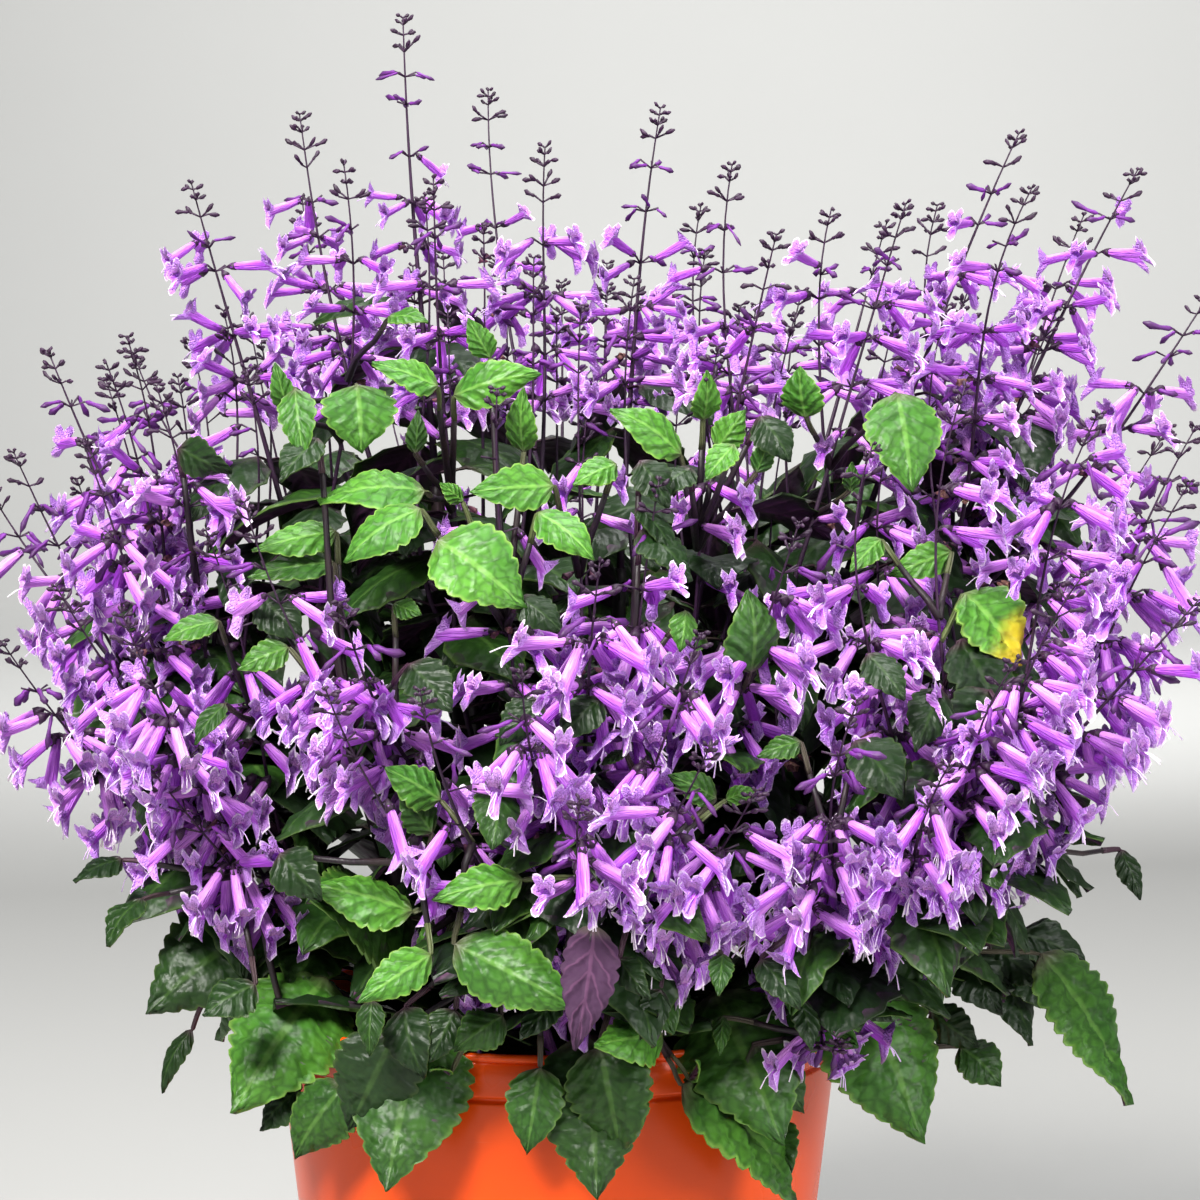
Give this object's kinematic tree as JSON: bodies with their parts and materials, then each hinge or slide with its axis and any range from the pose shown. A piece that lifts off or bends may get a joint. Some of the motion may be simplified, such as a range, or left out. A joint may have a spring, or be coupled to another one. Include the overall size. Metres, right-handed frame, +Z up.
{
  "type": "potted mona lavender plectranthus",
  "caption": "Bushy flowering perennial in a tapered plastic pot: square dark stems fan out of the soil and end in spikes of tubular lavender flowers over toothed green leaves.",
  "frame": {"origin": "middle of the pot's flat base, where it rests", "axes": "+Z up along the pot's axis, +X to the right and -Y to the front as pictured"},
  "size_m": [0.4936, 0.4417, 0.582],
  "materials": {
    "pot_plastic": "gloss",
    "potting_soil": "matte",
    "stem_skin": "satin",
    "flower_lavender": "satin",
    "leaf_green": "satin"
  },
  "bodies": {
    "root": {"pot": "pot_plastic", "potting_soil": "potting_soil", "main_stem_01": "stem_skin", "main_stem_02": "stem_skin", "main_stem_03": "stem_skin", "main_stem_04": "stem_skin", "main_stem_05": "stem_skin", "main_stem_06": "stem_skin", "main_stem_07": "stem_skin", "main_stem_08": "stem_skin", "main_stem_09": "stem_skin", "main_stem_10": "stem_skin", "main_stem_11": "stem_skin", "main_stem_12": "stem_skin", "main_stem_13": "stem_skin", "flower_spike_01": "flower_lavender", "flower_spike_02": "flower_lavender", "flower_spike_03": "flower_lavender", "flower_spike_04": "flower_lavender", "flower_spike_05": "flower_lavender", "flower_spike_06": "flower_lavender", "flower_spike_07": "flower_lavender", "flower_spike_08": "flower_lavender", "flower_spike_09": "flower_lavender", "flower_spike_10": "flower_lavender", "flower_spike_11": "flower_lavender", "flower_spike_12": "flower_lavender", "flower_spike_13": "flower_lavender", "flower_spike_14": "flower_lavender", "flower_spike_15": "flower_lavender", "flower_spike_16": "flower_lavender", "flower_spike_17": "flower_lavender", "flower_spike_18": "flower_lavender", "flower_spike_19": "flower_lavender", "flower_spike_20": "flower_lavender", "flower_spike_21": "flower_lavender", "flower_spike_22": "flower_lavender", "flower_spike_23": "flower_lavender", "flower_spike_24": "flower_lavender", "flower_spike_25": "flower_lavender", "flower_spike_26": "flower_lavender", "flower_spike_27": "flower_lavender", "flower_spike_28": "flower_lavender", "flower_spike_29": "flower_lavender", "flower_spike_30": "flower_lavender", "flower_spike_31": "flower_lavender", "leaf_01": "leaf_green", "leaf_02": "leaf_green", "leaf_03": "leaf_green", "leaf_04": "leaf_green", "leaf_05": "leaf_green", "leaf_06": "leaf_green", "leaf_07": "leaf_green", "leaf_08": "leaf_green", "leaf_09": "leaf_green", "leaf_10": "leaf_green", "leaf_11": "leaf_green", "leaf_12": "leaf_green", "leaf_13": "leaf_green", "leaf_14": "leaf_green"}
  },
  "joints": []
}
